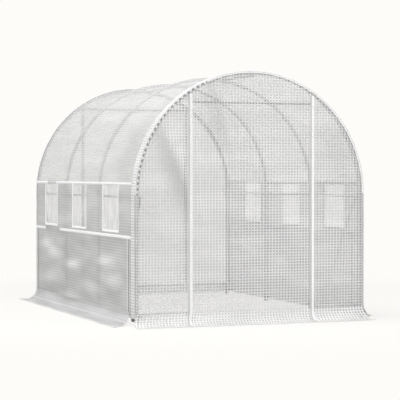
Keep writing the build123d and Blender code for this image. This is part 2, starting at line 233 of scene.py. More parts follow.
def stops(values, step):
    """Positions through every given value, in order, with even steps no longer than step between them."""
    values = sorted(values)
    found = [values[0]]
    for a, b in zip(values, values[1:]):
        if b - a < 1e-6:
            continue
        count = max(1, math.ceil((b - a) / step))
        found += [a + (b - a) * i / count for i in range(1, count + 1)]
    return found


# ---- Where the cover lies ----
def along_cover(height):
    """The distance up the cover, from the ground, of a point at that height on a side."""
    if height <= SPRING:
        return height
    return SPRING + MID * math.asin((height - SPRING) / MID)


def on_side(side, distance):
    """A distance up a side as a distance round the whole cover."""
    return distance if side == "left" else GIRTH - distance


def girth_point(t, y, out=0.0):
    """The point t round the cover from the ground on the left, y along it, and out from its middle."""
    radius = MID + out
    if t < SPRING:
        return Vector((-radius, y, t))
    turn = (t - SPRING) / MID
    if turn > math.pi:
        return Vector((radius, y, GIRTH - t))
    return Vector((-radius * math.cos(turn), y, SPRING + radius * math.sin(turn)))


def between_hoops(y):
    """0 at a hoop and beyond the end ones, and 1 midway between two."""
    for a, b in zip(HOOPS, HOOPS[1:]):
        if a < y < b:
            return math.sin(math.pi * (y - a) / (b - a))
    return 0.0


def patch(a, b, middle, reach):
    """1 at the middle of a soft patch, fading out over its reach each way."""
    return math.exp(-(((a - middle[0]) / reach[0]) ** 2) - ((b - middle[1]) / reach[1]) ** 2)


def skirt_front(sign, s):
    """Where the front edge of a side skirt lies, s down its cloth. The right one runs up to the corner."""
    out = skirt_line(s)[0]
    if sign < 0:
        return sizes().flap - HALF - out
    corner = 0.008
    return corner - HALF + (sizes().flap - corner) * smooth(out, 0.03, SKIRT_REACH)


def bulge(y, height):
    """How far the slack film of a side's lower part is pushed out, from 0 to 1."""
    return clamp(sum(patch(y, height, middle, BULGE_REACH) for middle in SIDE_BULGES))


def slack(t, y):
    """How far the film lies inside its tight line, round and along the cover."""
    hang = between_hoops(y)
    height = min(t, GIRTH - t)
    roof = smooth(height, SPRING, SPRING + 0.5)
    sag = sizes().side_sag + (sizes().roof_sag - sizes().side_sag) * roof
    clear_of_ends = smooth(HALF - abs(y), *FROM_END)
    below_webbing = 1 - smooth(height, *WEBBING_LINE)
    pillow = smooth(ripple(y * 2.0, t * 9.5, 7.3), -0.3, 0.5)
    pushed_in = pillow * (0.1 + 0.4 * below_webbing) * smooth(height, 0.02, 0.25)
    dent = sizes().dents * (pushed_in - bulge(y, height))
    crease = CREASE_DEPTH * abs(ripple(y * 11.0, t * 1.7, 2.1))
    return hang ** 1.5 * sag + (clear_of_ends * dent + hang * crease) * (1 - 0.5 * roof)


def cover_point(t, y, out=0.0):
    """The same on the slack film."""
    return girth_point(t, y, out - slack(t, y))


def ridge(x, z, low, high, width):
    """A fold along a line between two points, 1 on the line and steeper on its right than on its left."""
    share = (z - low[1]) / (high[1] - low[1])
    if not 0 < share < 1:
        return 0.0
    off = x - (low[0] + share * (high[0] - low[0]))
    return math.exp(-((off / (width * (1.5 if off < 0 else 0.5))) ** 2)) * math.sin(math.pi * share) ** 0.5


def end_fold(end, x, z):
    """How far an end panel's soft folds stand out from its flat plane, in or out."""
    edge = smooth(END_RADIUS - math.hypot(x, max(0.0, z - SPRING)), *FROM_PANEL_EDGE)
    post = smooth(abs(abs(x) - DOOR_HALF), *FROM_POST)
    foot = smooth(z, SKIRT_TOP, SKIRT_TOP + FROM_SKIRT)
    lean = x * 3.3 - end * z * 0.7
    wave = ripple(lean * 1.5, z * 0.55, 3.7 + end)
    wave += 0.35 * ripple(x * 9, z * 2, end)
    wave *= 1.6 * sizes().folds
    if end < 0:
        for low, high, width, height in DOOR_END_FOLDS:
            wave += height * ridge(x, z, low, high, width)
    fold = wave * edge * post * foot
    # The film cannot hang in where a bar lies right behind it.
    bars = [LINTELS[end], GROUND_BARS[end]]
    near = max(1 - smooth(abs(z - (b[0].z + b[1].z) / 2), *FROM_BAR) for b in bars)
    return fold if fold > 0 else fold * (1 - near)


def painted_end_shading(x, z):
    """Shade painted on the door end along two folds and on its right, less light painted on its upper left.
    """
    low, high, width, _ = DOOR_END_FOLDS[0]
    # Painted shade along the two folds and on the dull right; painted light on the tight and pale upper left.
    painted_fold_shade = 0.95 * ridge(x + 0.75 * width, z, low, high, 0.8 * width) * smooth(-x, 0.53, 0.57)
    painted_zip_fold_shade = 0.55 * ridge(x, z, *DOOR_END_FOLDS[1][:3])
    dull = 0.3 * patch(x, z, (0.76, 1.4), (0.14, 0.3))
    tight = 0.3 * patch(x, z, (-0.6, 1.58), (0.12, 0.18))
    painted_broad_light = 0.2 * patch(x, z, (-0.75, 1.5), (0.3, 0.45))
    return painted_fold_shade + painted_zip_fold_shade + dull - min(tight + painted_broad_light, 0.2)


def end_point(end, x, z):
    """A point of the film at an end: -1 is the door end, and 1 the back."""
    return Vector((x, end * (END_MID + end_fold(end, x, z)), z))


def skirt_line(s, off=0.0):
    """How far out from the wall, and how high, a skirt lies s down its cloth; off is above its middle."""
    radius = BEND + WALL / 2
    quarter = radius * math.pi / 2
    if s < quarter:
        turn = s / radius
        return BEND - (radius - off) * math.cos(turn), SKIRT_TOP - (radius - off) * math.sin(turn)
    return BEND + s - quarter, WALL / 2 + off


def skirt_lift(s, along):
    """The height of the skirt's soft waves where it lies on the ground."""
    wave = 0.6 + ripple(along * 3.4, s * 3, 9.2)
    return max(0.0, SKIRT_WAVE * smooth(s, 0.08, SKIRT_LENGTH) * wave)


def skirt_point(direction, s, along, off=0.0):
    """A point on the skirt that leads towards direction, (x, y), along metres along its wall."""
    grow = 1.0
    if direction[0] > 0:
        # The bend of the right skirt is wider where it runs up to the front corner.
        grow += BEND_GROWTH * (1 - smooth(along, 0.02 - HALF, 0.3 - HALF))
    out, height = (c * grow for c in skirt_line(s / grow, off))
    height += skirt_lift(s, along)
    if direction[0]:
        return Vector((direction[0] * (OUTER + out), along, height))
    if direction[1] < 0:
        # The skirt at the door end lies askew, most of all at its left corner, and flares at its right.
        shift = 0.1 + 0.9 * clamp((OUTER - along) / 2) ** 1.7
        along -= sizes().askew * (1 - (1 - s / SKIRT_LENGTH) ** 2) * shift
        along += SKIRT_FLARE * smooth(s, 0.0, 0.1) * clamp((along - 0.6) / 0.4)
    return Vector((along, direction[1] * (HALF + out), height))


# ---- Meshes ----
def place_piece(name, vertices, faces, cloth, material):
    """A new piece on the frame, with a map of its place on the flat cloth in metres."""
    mesh = bpy.data.meshes.new(name)
    mesh.from_pydata([tuple(v) for v in vertices], [], faces)
    mesh.polygons.foreach_set("use_smooth", [True] * len(mesh.polygons))
    layer = mesh.uv_layers.new(name="cloth")
    for loop in mesh.loops:
        layer.data[loop.index].uv = cloth[loop.vertex_index]
    mesh.update()
    mesh.materials.append(material)
    piece = bpy.data.objects.new(name, mesh)
    bpy.context.scene.collection.objects.link(piece)
    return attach(piece, "root")


def sharpen_rim(mesh):
    """Marks the cloth's free edges as sharp, so that its faces shade evenly up to them."""
    uses = {}
    for polygon in mesh.polygons:
        for key in polygon.edge_keys:
            uses[key] = uses.get(key, 0) + 1
    for edge in mesh.edges:
        edge.use_edge_sharp = uses.get(edge.key, 0) == 1


def cloth_piece(name, across, along, place, material, keep=None, thickness=None, cloth=None):
    """A sheet over the grid of two lists of positions, placed by a function and thickened to both sides."""
    index, vertices, flat, faces = {}, [], [], []

    def corner(i, j):
        if (i, j) not in index:
            index[i, j] = len(vertices)
            vertices.append(place(across[i], along[j]))
            flat.append(cloth(across[i], along[j]) if cloth else (across[i], along[j]))
        return index[i, j]

    for i in range(len(across) - 1):
        for j in range(len(along) - 1):
            middle = ((across[i] + across[i + 1]) / 2, (along[j] + along[j + 1]) / 2)
            if keep is None or keep(*middle):
                faces.append((corner(i, j), corner(i + 1, j), corner(i + 1, j + 1), corner(i, j + 1)))
    piece = place_piece(name, vertices, faces, flat, material)
    sharpen_rim(piece.data)
    thick = piece.modifiers.new("thickness", "SOLIDIFY")
    thick.thickness = sizes().film if thickness is None else thickness
    thick.offset = 0.0
    return piece


def add_painted_shading(piece, value):
    """Stores on each vertex how much light or shade is painted on the film there."""
    layer = piece.data.attributes.new("mark", "FLOAT", "POINT")
    layer.data.foreach_set("value", [value(v.co) for v in piece.data.vertices])


def stand_in(piece, node):
    """Hides the frame node that a piece takes the place of."""
    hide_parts(node)


# ---- Finishes ----
class Nodes:
    """A tree of shader nodes, with short ways to add and link them."""

    def __init__(self, tree):
        self.tree = tree

    def add(self, kind, **settings):
        made = self.tree.nodes.new(kind)
        for key, value in settings.items():
            setattr(made, key, value)
        return made

    def feed(self, socket, value):
        if isinstance(value, bpy.types.NodeSocket):
            self.tree.links.new(value, socket)
        else:
            socket.default_value = value

    def feed_all(self, made, values):
        """Feeds a node's first inputs in order, and gives its first output."""
        for socket, value in zip(made.inputs, values):
            self.feed(socket, value)
        return made.outputs[0]

    def math(self, operation, *values):
        return self.feed_all(self.add("ShaderNodeMath", operation=operation), values)

    def blend(self, share, a, b):
        """Two shaders mixed by a share of the second."""
        return self.feed_all(self.add("ShaderNodeMixShader"), (share, a, b))

    def seen(self):
        """1 for what the camera sees directly, in a mirror or through glass."""
        path = self.add("ShaderNodeLightPath").outputs
        first = self.math("MAXIMUM", path["Is Camera Ray"], path["Is Glossy Ray"])
        return self.math("MAXIMUM", first, path["Is Transmission Ray"])


class Finish(Nodes):
    """A material under construction."""

    def __init__(self, name):
        self.material = bpy.data.materials.new(name)
        self.material.use_nodes = True
        super().__init__(self.material.node_tree)
        self.shader = self.tree.nodes["Principled BSDF"]

    def paint(self, colour):
        self.feed(self.shader.inputs["Base Color"], colour)

    def show(self, surface):
        self.feed(self.tree.nodes["Material Output"].inputs["Surface"], surface)

    def ramp(self, value, low, high, to_low, to_high, step="LINEAR"):
        """A value between low and high, carried over to the range from to_low to to_high."""
        made = self.add("ShaderNodeMapRange", interpolation_type=step)
        return self.feed_all(made, (value, low, high, to_low, to_high))

    def spread(self, value, low, high, to_low=0.0, to_high=1.0):
        """The same with a soft start and end."""
        return self.ramp(value, low, high, to_low, to_high, "SMOOTHSTEP")

    def place(self):
        """The place on the object, in metres."""
        return self.add("ShaderNodeTexCoord").outputs["Object"]

    def noise(self, scale, detail, place=None):
        made = self.add("ShaderNodeTexNoise")
        made.inputs["Scale"].default_value = scale
        made.inputs["Detail"].default_value = detail
        self.feed(made.inputs["Vector"], place or self.place())
        return made.outputs["Fac"]

    def long_noise(self, cloth, across, along, detail):
        """Noise on the flat cloth, finer one way than the other."""
        made = self.add("ShaderNodeMapping", vector_type="POINT")
        made.inputs["Scale"].default_value = (across, along, 1.0)
        self.feed(made.inputs["Vector"], cloth)
        return self.noise(1.0, detail, made.outputs[0])

    def mix(self, share, a, b):
        """Two colours mixed by a share of the second."""
        made = self.add("ShaderNodeMix", data_type="RGBA")
        for number, value in ((0, share), (6, a), (7, b)):
            self.feed(made.inputs[number], value)
        return made.outputs[2]

    def scaled(self, colour, value):
        """A colour made lighter or darker by a value near 1."""
        made = self.add("ShaderNodeVectorMath", operation="SCALE")
        self.feed(made.inputs[0], colour)
        self.feed(made.inputs["Scale"], value)
        return made.outputs[0]

    def dappled(self, colour, scale, detail, dark, light):
        """A colour with fine darker and lighter spots."""
        return self.scaled(colour, self.ramp(self.noise(scale, detail), 0.3, 0.7, dark, light))

    def bump(self, height, strength, distance):
        """A fine relief from a height, distance metres deep."""
        made = self.add("ShaderNodeBump")
        made.inputs["Strength"].default_value = strength
        made.inputs["Distance"].default_value = distance
        self.feed(made.inputs["Height"], height)
        self.feed(self.shader.inputs["Normal"], made.outputs[0])

    def cloth_axes(self):
        """The two distances along the flat cloth, then both together."""
        cloth = self.add("ShaderNodeUVMap", uv_map="cloth").outputs[0]
        parts = self.add("ShaderNodeSeparateXYZ")
        self.feed(parts.inputs[0], cloth)
        return parts.outputs[0], parts.outputs[1], cloth

    def stripes(self, distance, spacing, share, soft=0.12):
        """1 on bands that repeat along a distance, and 0 between them."""
        place = self.math("FRACT", self.math("DIVIDE", distance, spacing))
        off = self.math("ABSOLUTE", self.math("SUBTRACT", place, 0.5))
        return self.spread(off, share / 2 - soft / 2, share / 2 + soft / 2, 1.0, 0.0)

    def waves(self, distance, spacing):
        """An even wave from 0 to 1 along a distance."""
        turn = self.math("MULTIPLY", distance, 2 * math.pi / spacing)
        return self.math("MULTIPLY_ADD", self.math("SINE", turn), 0.5, 0.5)

    def see_through(self, cover, seep, colour):
        """Shows what lies behind, less the covered share; seep is how much light glows through."""
        glow = self.add("ShaderNodeBsdfTranslucent")
        self.feed(glow.inputs["Color"], colour)
        body = self.blend(seep, self.shader.outputs[0], glow.outputs[0])
        self.show(self.blend(cover, self.add("ShaderNodeBsdfTransparent").outputs[0], body))


def film_finish(name, cell_cover, band_cover, band_tone, cell_tone, patches, painted_shading_strength, seep):
    """Clear film with a laid-in grid of white bands, each a few flat yarns wide."""
    made = Finish(name)
    u, v, cloth = made.cloth_axes()
    share, yarn = sizes().band_share, sizes().yarn
    bands = made.math(
        "MAXIMUM", made.stripes(u, sizes().grid_across, share), made.stripes(v, sizes().grid, share)
    )
    yarns = made.math("MULTIPLY", made.waves(u, yarn), made.waves(v, yarn))
    cloud = made.long_noise(cloth, 1.6, 7.0, 1.5)
    band = [c * band_tone for c in colours().thread]
    band = made.scaled(band, made.ramp(yarns, 0.0, 1.0, 0.95, 1.03))
    cell = made.dappled([c * cell_tone for c in colours().cell], 130.0, 3.0, 0.94, 1.06)
    colour = made.mix(bands, cell, band)
    colour = made.scaled(colour, made.spread(cloud, 0.4, 0.66, 1 - patches, 1 + 1.6 * patches))
    # Light and shade painted through the vertex attribute lighten or darken the colour.
    if painted_shading_strength:
        mark = made.add("ShaderNodeAttribute", attribute_name="mark").outputs["Fac"]
        colour = made.scaled(colour, made.math("MULTIPLY_ADD", mark, painted_shading_strength, 1.0))
    made.paint(colour)
    made.feed(made.shader.inputs["Roughness"], made.spread(bands, 0.0, 1.0, 0.32, 0.55))
    made.shader.inputs["Specular IOR Level"].default_value = 0.35
    made.bump(made.math("MULTIPLY_ADD", yarns, 0.35, bands), 0.35, 0.0006)
    made.see_through(made.ramp(bands, 0.0, 1.0, cell_cover, band_cover), seep, colour)
    return made.material


def net_finish(name, spacing):
    """Fine white netting, with the light and shade of long upright creases painted as streaks."""
    made = Finish(name)
    u, v, cloth = made.cloth_axes()
    mesh = made.math("MAXIMUM", made.stripes(u, spacing, 0.3), made.stripes(v, spacing, 0.3))
    # Painted light and shade of creases: lighter and darker upright streaks.
    creases = made.spread(made.long_noise(cloth, 6.0, 60.0, 1.0), 0.36, 0.6, 0.8, 1.06)
    colour = made.scaled(made.dappled(tuple(colours().net), 60.0, 2.0, 0.95, 1.04), creases)
    made.paint(colour)
    made.shader.inputs["Roughness"].default_value = 0.7
    made.bump(mesh, 0.4, 0.0004)
    made.see_through(made.ramp(mesh, 0.0, 1.0, 0.04, 0.7), 0.35, colour)
    return made.material


def tape_finish(name, rib, stitch, tone, dots):
    """White woven tape with ribs across it and stitches near each edge; dots darkens spaced dots of painted
    shade.
    """
    made = Finish(name)
    u, v, _ = made.cloth_axes()
    edge = made.math("SUBTRACT", 1.0, made.spread(made.math("ABSOLUTE", v), 0.72, 0.8))
    row = made.math("MULTIPLY", edge, made.spread(made.math("ABSOLUTE", v), 0.6, 0.68))
    dash = made.math("MULTIPLY", row, made.stripes(u, stitch, 0.66, 0.2))
    colour = made.dappled([c * tone for c in colours().tape], 14.0, 4.0, 0.965, 1.02)
    colour = made.scaled(colour, made.ramp(dash, 0.0, 1.0, 1.0, 0.82))
    if dots:
        spots = made.stripes(u, 2 * sizes().grid, 0.55)
        colour = made.scaled(colour, made.spread(spots, 0.0, 1.0, 1.0, 1 - dots))
    made.paint(colour)
    made.shader.inputs["Roughness"].default_value = 0.62
    made.shader.inputs["Sheen Weight"].default_value = 0.15
    made.bump(made.math("SUBTRACT", made.waves(u, rib), made.math("MULTIPLY", dash, 2.0)), 0.35, 0.0004)
    return made.material


def steel_finish(name, grain, roughness):
    """Galvanised steel with its patchy zinc crystals and a dull sheen."""
    made = Finish(name)
    crystals = made.add("ShaderNodeTexVoronoi", feature="F1")
    crystals.inputs["Scale"].default_value = grain
    made.feed(crystals.inputs["Vector"], made.place())
    tone = made.ramp(crystals.outputs["Color"], 0.0, 1.0, 0.82, 1.12)
    streak = made.spread(made.noise(9.0, 5.0), 0.3, 0.7, 0.9, 1.08)
    colour = made.scaled(tuple(colours().steel), made.math("MULTIPLY", tone, streak))
    made.paint(colour)
    made.shader.inputs["Metallic"].default_value = 0.85
    rough = made.spread(tone, 0.8, 1.15, roughness - 0.06, roughness + 0.1)
    made.feed(made.shader.inputs["Roughness"], rough)
    made.bump(made.noise(420.0, 2.0), 0.12, 0.0003)
    return made.material


def plastic_finish(name, spark):
    """Moulded black plastic with a fine spark grain."""
    made = Finish(name)
    grain = made.noise(spark, 2.0)
    dust = made.ramp(made.noise(22.0, 4.0), 0.3, 0.75, 0.8, 1.7)
    made.paint(made.scaled(tuple(colours().plastic), dust))
    made.feed(made.shader.inputs["Roughness"], made.spread(grain, 0.3, 0.7, 0.42, 0.58))
    made.bump(grain, 0.25, 0.0002)
    return made.material


# Film: its name, how much its cells and its bands cover, the tones of its bands and its cells, how deep its
# cloudy patches are, how much its painted light and shade lighten or darken it, and how much light seeps
# through. The copies are all the same film: their tones differ to paint the light and shade on each part of
# the cover.
FILMS = {
    "end": ("end_grid_film", 0.14, 0.6, 1.01, 0.66, 0.03, -0.3, 0.3),
    "end_skirt": ("end_skirt_grid_film", 0.35, 0.93, 1.03, 1.08, 0.03, 0.0, 0.3),
    "roof": ("roof_grid_film", 0.27, 0.5, 0.88, 1.28, 0.03, -0.2, 0.3),
    "side": ("side_grid_film", 0.62, 0.78, 0.74, 1.06, 0.05, 0.28, 0.42),
    "skirt": ("skirt_grid_film", 0.75, 0.9, 0.8, 1.18, 0.05, 0.0, 0.3),
    "seam": ("doubled_grid_film", 0.8, 0.98, 1.06, 0.9, 0.03, 0.0, 0.3),
}
# Tape: its name, the spacing of its ribs and its stitches, its tone, and how dark its spaced dots are; the
# dots are painted shade.
TAPES = {
    "hem": ("turned_hem", 0.006, 0.005, 0.78, 0.0),
    # Dark grey strips painted as shadow lines along the side seams and the door end's legs.
    "stitching": ("grey_stitching", 0.004, 0.004, 0.3, 0.0),
    # Dark dots painted as shade on the door end's corner; the copy below has them faint.
    "corner": ("corner_stitching", 0.004, 0.004, 0.95, 0.72),
    "worn_corner": ("pale_corner_stitching", 0.004, 0.004, 0.97, 0.06),
    # Darker strips painted as shadow lines under the webbing, beside the zips and down the door end's right
    # leg.
    "edging": ("turned_edge", 0.004, 0.004, 0.62, 0.0),
    "tape": ("woven_tape", 0.0022, 0.0045, 0.97, 0.0),
    # The window tape is the webbing's tape painted lighter, as lit.
    "frame_tape": ("window_tape", 0.0022, 0.0045, 1.03, 0.0),
    # The window tape painted darker as shade, for the near upright of each window.
    "worn_frame_tape": ("worn_window_tape", 0.0022, 0.0045, 0.84, 0.0),
    "zip": ("zip_tape", 0.0016, 0.003, 1.03, 0.0),
}
# Steel: its name, how fine its crystals are, and its roughness.
STEELS = {
    "tube": ("galvanised_tube", 160.0, 0.38),
    "clamp": ("galvanised_pressing", 240.0, 0.45),
}
NETS = {"net": ("white_netting", 0.0026)}  # its name and the spacing of its threads
PLASTICS = {"plastic": ("moulded_black_plastic", 900.0)}  # its name and how fine its grain is
MAKERS = (
    (film_finish, FILMS), (tape_finish, TAPES), (steel_finish, STEELS),
    (net_finish, NETS), (plastic_finish, PLASTICS),
)
MADE = {}


def finish(kind):
    """The material of that kind, made when it is first asked for."""
    if kind not in MADE:
        MADE[kind] = next(make(*table[kind]) for make, table in MAKERS if kind in table)
    return MADE[kind]


def dress(nodes, kind):
    """Gives frame nodes their finish, with their rounds shaded smooth."""
    for name in nodes:
        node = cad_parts[name]
        node.data.materials.clear()
        node.data.materials.append(finish(kind))
        node.data.polygons.foreach_set("use_smooth", [True] * len(node.data.polygons))
        edges = node.modifiers.new("edges", "EDGE_SPLIT")
        edges.split_angle = math.radians(35)


# ---- Pieces and their operators ----
class TUNNEL_OT_frame(bpy.types.Operator):
    """Finish the galvanised tubes, the clamps and the moulded feet"""

    bl_idname = "tunnel.frame"
    bl_label = "Frame"

    def execute(self, context):
        names = set(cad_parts)
        feet = {n for n in names if "feet" in n}
        clamps = {n for n in names if "clamps" in n}
        words = ("hoop", "rail", "post", "lintel", "ground_bar", "brace")
        tubes = {n for n in names - feet - clamps if any(w in n for w in words)}
        dress(sorted(tubes), "tube")
        dress(sorted(clamps), "clamp")
        dress(sorted(feet), "plastic")
        return {"FINISHED"}


class TUNNEL_OT_roof(bpy.types.Operator):
    """Lay the roof film over the hoops and the ridge rail"""

    bl_idname = "tunnel.roof"
    bl_label = "Roof"

    def execute(self, context):
        low = along_cover(SEAM)
        roof = cloth_piece(
            "roof_film", stops([low, GIRTH - low], STEP), stops([-HALF, *HOOPS, HALF], STEP), cover_point,
            finish("roof"), cloth=lambda t, y: (y, t),
        )
        # Shade is painted on the roof near the door end.
        add_painted_shading(roof, lambda spot: patch(spot.y, spot.z, *ROOF_SHADE))
        stand_in(roof, "roof_cover")
        return {"FINISHED"}


def in_window(side, t, y):
    """Whether a point of a side lies in one of its windows."""
    height = min(t, GIRTH - t)
    if not along_cover(WINDOW_LOW) < height < along_cover(WINDOW_HIGH):
        return False
    return any(a < y < b for a, b in WINDOWS[side])


def side_panel(side):
    """A side up to the roof's seam, with its windows cut out. Its corner flap goes on past the skirt."""
    flap_y, windows = sizes().flap - HALF, WINDOWS[side]
    window_low, window_high, top = (along_cover(z) for z in (WINDOW_LOW, WINDOW_HIGH, SEAM))

    def keep(t, y):
        open_foot = min(t, GIRTH - t) < SKIRT_TOP and y > flap_y
        return not in_window(side, t, y) and not open_foot

    heights = [on_side(side, h) for h in (FLAP_FOOT, SKIRT_TOP, window_low, window_high, top)]
    places = [-HALF, flap_y, *HOOPS, *[edge for window in windows for edge in window], HALF]
    panel = cloth_piece(
        f"side_film_{side}", stops(heights, SIDE_STEP), stops(places, SIDE_STEP), cover_point,
        finish("side"), keep, cloth=lambda t, y: (y, t),
    )
    # Light painted on the film: lighter on its bulges, and from 0.68 m up.
    add_painted_shading(panel, lambda spot: bulge(spot.y, spot.z) + 0.3 * smooth(spot.z, 0.68, 0.78))
    stand_in(panel, f"side_cover_{side}")
    cut_out = sum(b - a for a, b in windows) * (window_high - window_low)


class TUNNEL_OT_sides(bpy.types.Operator):
    """Hang the two side panels, with their windows cut through them"""

    bl_idname = "tunnel.sides"
    bl_label = "Sides"

    def execute(self, context):
        for side in SIDES:
            side_panel(side)
        return {"FINISHED"}


def end_top(x):
    """The height of an end panel's edge above x."""
    return SPRING + math.sqrt(max(0.0, END_RADIUS**2 - x * x))


def end_columns(low, high):
    """Positions across an end panel, closer together near the outer edges."""
    a, b = (math.asin(clamp(v / END_RADIUS, -1, 1)) for v in (low, high))
    count = max(4, math.ceil((b - a) * END_RADIUS / STEP))
    return [END_RADIUS * math.sin(a + (b - a) * i / count) for i in range(count + 1)]


def end_panel(name, node, end, span):
    """An end panel, or a part of one, between two positions across the tunnel."""
    columns = end_columns(*span)

    def height(x, share):
        return SKIRT_TOP + share * (end_top(x) - SKIRT_TOP)

    panel = cloth_piece(
        name, columns, stops([0.0, 1.0], PANEL_ROWS), lambda x, share: end_point(end, x, height(x, share)),
        finish("end"), cloth=lambda x, share: (x, height(x, share)),
    )
    if end < 0:
        # Light and shade are painted on the door end's film.
        add_painted_shading(panel, lambda spot: painted_end_shading(spot.x, spot.z))
    tall = max(end_top(x) for x in columns) - SKIRT_TOP
    area = sum((b - a) * ((end_top(a) + end_top(b)) / 2 - SKIRT_TOP) for a, b in zip(columns, columns[1:]))
    stand_in(panel, node)


class TUNNEL_OT_ends(bpy.types.Operator):
    """Hang the door panel, the two panels beside it and the back panel"""

    bl_idname = "tunnel.ends"
    bl_label = "End panels"

    def execute(self, context):
        end_panel("door_film", "door_panel", -1, DOOR_END_SPANS["door"])
        for side in SIDES:
            end_panel(f"front_film_{side}", f"front_panel_{side}", -1, DOOR_END_SPANS[side])
        end_panel("back_film", "back_panel", 1, BACK_SPAN)
        return {"FINISHED"}


def side_skirt(side, sign, rows):
    """A skirt along a side, from its slanting front edge to the back corner."""

    def along(s, share):
        start = skirt_front(sign, s)
        return start + share * (HALF - start)

    skirt = cloth_piece(
        f"side_skirt_film_{side}", rows, stops([0.0, 1.0], SKIRT_ROWS),
        lambda s, share: skirt_point((sign, 0), s, along(s, share)), finish("skirt"),
        cloth=lambda s, share: (along(s, share), s),
    )
    stand_in(skirt, f"side_skirt_{side}")


def end_skirt(name, node, end, span, rows):
    """A skirt along an end panel, or a part of one."""

    def place(x, s):
        return skirt_point((0, end), s, x)

    skirt = cloth_piece(name, stops(span, END_SKIRT_STEP), rows, place, finish("end_skirt"))
    stand_in(skirt, node)


class TUNNEL_OT_skirts(bpy.types.Operator):
    """Lay the skirts out over the ground on all four sides"""

    bl_idname = "tunnel.skirts"
    bl_label = "Skirts"

    def execute(self, context):
        rows = stops([0.0, BEND * math.pi / 2, SKIRT_LENGTH], BEND_STEP)
        for side, sign in SIDES.items():
            side_skirt(side, sign, rows)
        for part, span in DOOR_END_SPANS.items():
            end_skirt(f"front_skirt_film_{part}", "front_skirt", -1, span, rows)
        end_skirt("back_skirt_film", "back_skirt", 1, BACK_SPAN, rows)
        return {"FINISHED"}


def edge_band(name, end, fold_back, foot):
    """A doubled band round an end: narrow on the end, and folded back along the cover."""
    width, off, leg = sizes().band_width, WALL / 2 + BAND_FILM, foot + BAND_CORNER

    def place(t, p):
        """p runs from the inner edge, out over the end panel and back along the cover."""
        if p < width:
            point = girth_point(t, 0.0, off - (width - p))
            point.y = end * (END_MID + off)
            return point
        return cover_point(t, end * (END_MID + off - (p - width)), off)

    def keep(t, p):
        return p > width or leg < t < GIRTH - leg or end > 0

    round_it = stops([foot, leg, SPRING, GIRTH - SPRING, GIRTH - leg, GIRTH - foot], STEP)
    over_it = stops([0.0, width, width + 0.004, width + fold_back], BAND_STEP)
    band = cloth_piece(
        f"{name}_band_film", round_it, over_it, place, finish("seam"), keep, BAND_FILM, lambda t, p: (p, t)
    )
    stand_in(band, f"{name}_edge_band")


class TUNNEL_OT_bands(bpy.types.Operator):
    """Sew the doubled edge bands round both ends"""

    bl_idname = "tunnel.bands"
    bl_label = "Edge bands"

    def execute(self, context):
        edge_band("front", -1, FRONT_BAND_RETURN, BAND_FOOT)
        edge_band("back", 1, BACK_BAND_RETURN, SKIRT_TOP + 0.001)
        return {"FINISHED"}


def netting(side, number, start, end):
    """The netting of one window, with loose upright creases that die out at its sides and its top."""
    low, high = along_cover(WINDOW_LOW), along_cover(WINDOW_HIGH)
    border, looseness = 0.05, 0.009

    def place(t, y):
        below_top = (high - min(t, GIRTH - t)) / border
        inset = min(y - start, end - y, border) / border * min(1.0, below_top)
        slant = y + 0.12 * t
        wave = ripple(slant * 10.0, t * 2.1, number + 3.0)
        wave += 0.5 * ripple(slant * 23.0, t * 3.1, number + 8.0)
        return cover_point(t, y, -looseness * max(0.0, inset) * (1.0 + wave))

    rows = stops([on_side(side, low), on_side(side, high)], FINE_STEP)
    net = cloth_piece(
        f"netting_{side}_{number}", rows, stops([start, end], CREASE_STEP), place, finish("net"),
        thickness=NET_THREAD,
    )
    stand_in(net, f"window_screens_{side}")


class TUNNEL_OT_screens(bpy.types.Operator):
    """Hang the netting in the windows"""

    bl_idname = "tunnel.screens"
    bl_label = "Window netting"

    def execute(self, context):
        for side, windows in WINDOWS.items():
            for number, (start, end) in enumerate(windows, 1):
                netting(side, number, start, end)
        return {"FINISHED"}


def strip(name, route, width, place, kind, swell=0.0):
    """A tape along a route of distances, its middle raised by swell; its map runs -1 to 1 across it."""
    shares = [-1.0, -0.8, -0.5, 0.0, 0.5, 0.8, 1.0]

    def spot(distance, share):
        return place(distance, share * width / 2, swell * (1 - share**4))

    return cloth_piece(name, route, shares, spot, finish(kind), thickness=sizes().tape)


def sew(name, node, route, width, place, kind, swell=0.0):
    """A tape or a hem that belongs to a frame node."""
    piece = strip(name, route, width, place, kind, swell)
    stand_in(piece, node)


def sewn(side, t, y, lift):
    """A point of a tape on a side, t up it."""
    return cover_point(on_side(side, t), y, ON_FILM + lift)


def on_arch(t):
    return SPRING < t < GIRTH - SPRING


def webbing(side, level):
    node = f"{level}_webbing_{side}"
    low, high = (along_cover(c.z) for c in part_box(node))

    def place(y, a, lift):
        return sewn(side, (low + high) / 2 + a, y, lift)

    for number, span in enumerate(runs(node, 1), 1):
        sew(
            f"{level}_webbing_{side}_{number}", node, stops(span, STEP), high - low, place, "tape",
            WEBBING_SWELL,
        )


def window_tapes(side):
    """The tapes up both sides of each window and along its foot."""
    node = f"window_tapes_{side}"
    low, high = (along_cover(c.z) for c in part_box(node))
    wide = along_cover(WINDOW_LOW) - low
    middle = along_cover(WINDOW_LOW) - wide / 2
    upright_width = 1.4 * wide

    def upright(edge):
        return lambda t, a, lift: sewn(side, t, edge + a, lift)

    def level(y, a, lift):
        return sewn(side, middle + a, y, lift)

    tall = stops([low, high], STEP)
    for number, (start, end) in enumerate(WINDOWS[side], 1):
        for word, route, place, width, kind in (
            # The near upright has shade painted on it.
            ("near", tall, upright(start - upright_width / 2), upright_width, "worn_frame_tape"),
            ("far", tall, upright(end + upright_width / 2), upright_width, "frame_tape"),
            ("foot", stops([start, end], STEP), level, wide, "frame_tape"),
        ):
            name = f"window_tape_{side}_{number}_{word}"
            sew(name, node, route, width, place, kind, TAPE_SWELL)


